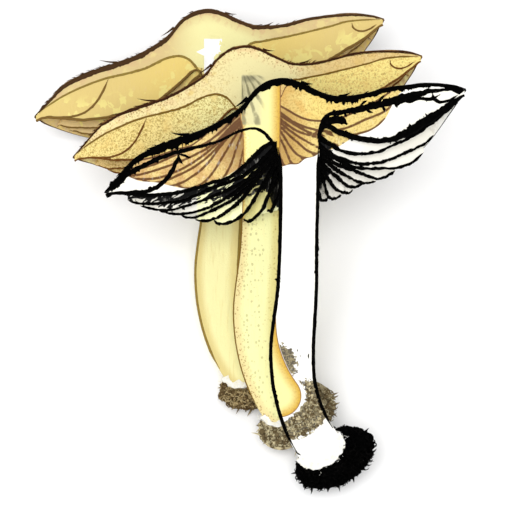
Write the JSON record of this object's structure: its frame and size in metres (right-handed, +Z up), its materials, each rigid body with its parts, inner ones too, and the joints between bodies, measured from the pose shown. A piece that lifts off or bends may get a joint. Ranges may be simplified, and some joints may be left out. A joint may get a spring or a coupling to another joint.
{
  "type": "oyster mushroom cluster",
  "caption": "Bunch of gilled mushrooms cut lengthwise, lying fanned with the cut faces up: broad caps with dark skin, leaf-like gills, long curved stems and soil at the feet.",
  "frame": {"origin": "on the floor, under the middle of the cluster's bounding box", "axes": "+Z up from the floor, +Y from the feet towards the caps, +X towards the raised wings of the caps"},
  "size_m": [0.1074, 0.1252, 0.064],
  "materials": {
    "back_flesh": "soft matte cream mushroom flesh",
    "back_cuticle": "dry fibrous brown cap skin",
    "back_gills": "thin matte golden gill plates",
    "back_soil": "crumbly brown soil",
    "middle_flesh": "soft matte cream mushroom flesh",
    "middle_cuticle": "dry fibrous brown cap skin",
    "middle_gills": "thin matte ochre gill plates",
    "middle_soil": "crumbly olive brown soil",
    "front_flesh": "soft matte white mushroom flesh",
    "front_cuticle": "dry fibrous black cap skin",
    "front_gills": "thin white gill plates with black edges",
    "front_soil": "crumbly black soil",
    "mycelium": "soft white felt"
  },
  "bodies": {
    "root": {"back_cap": "back_flesh", "back_cuticle": "back_cuticle", "back_gill_1": "back_gills", "back_gill_2": "back_gills", "back_gill_3": "back_gills", "back_gill_4": "back_gills", "back_gill_5": "back_gills", "back_gill_6": "back_gills", "back_gill_7": "back_gills", "back_gill_8": "back_gills", "back_gill_9": "back_gills", "back_gill_10": "back_gills", "back_gill_11": "back_gills", "back_stem": "back_flesh", "back_mycelium": "mycelium", "back_soil": "back_soil", "middle_cap": "middle_flesh", "middle_cuticle": "middle_cuticle", "middle_gill_1": "middle_gills", "middle_gill_2": "middle_gills", "middle_gill_3": "middle_gills", "middle_gill_4": "middle_gills", "middle_gill_5": "middle_gills", "middle_gill_6": "middle_gills", "middle_gill_7": "middle_gills", "middle_gill_8": "middle_gills", "middle_gill_9": "middle_gills", "middle_gill_10": "middle_gills", "middle_gill_11": "middle_gills", "middle_stem": "middle_flesh", "middle_mycelium": "mycelium", "middle_soil": "middle_soil", "front_cap": "front_flesh", "front_cuticle": "front_cuticle", "front_gill_1": "front_gills", "front_gill_2": "front_gills", "front_gill_3": "front_gills", "front_gill_4": "front_gills", "front_gill_5": "front_gills", "front_gill_6": "front_gills", "front_gill_7": "front_gills", "front_gill_8": "front_gills", "front_gill_9": "front_gills", "front_gill_10": "front_gills", "front_gill_11": "front_gills", "front_stem": "front_flesh", "front_mycelium": "mycelium", "front_soil": "front_soil"}
  },
  "joints": []
}
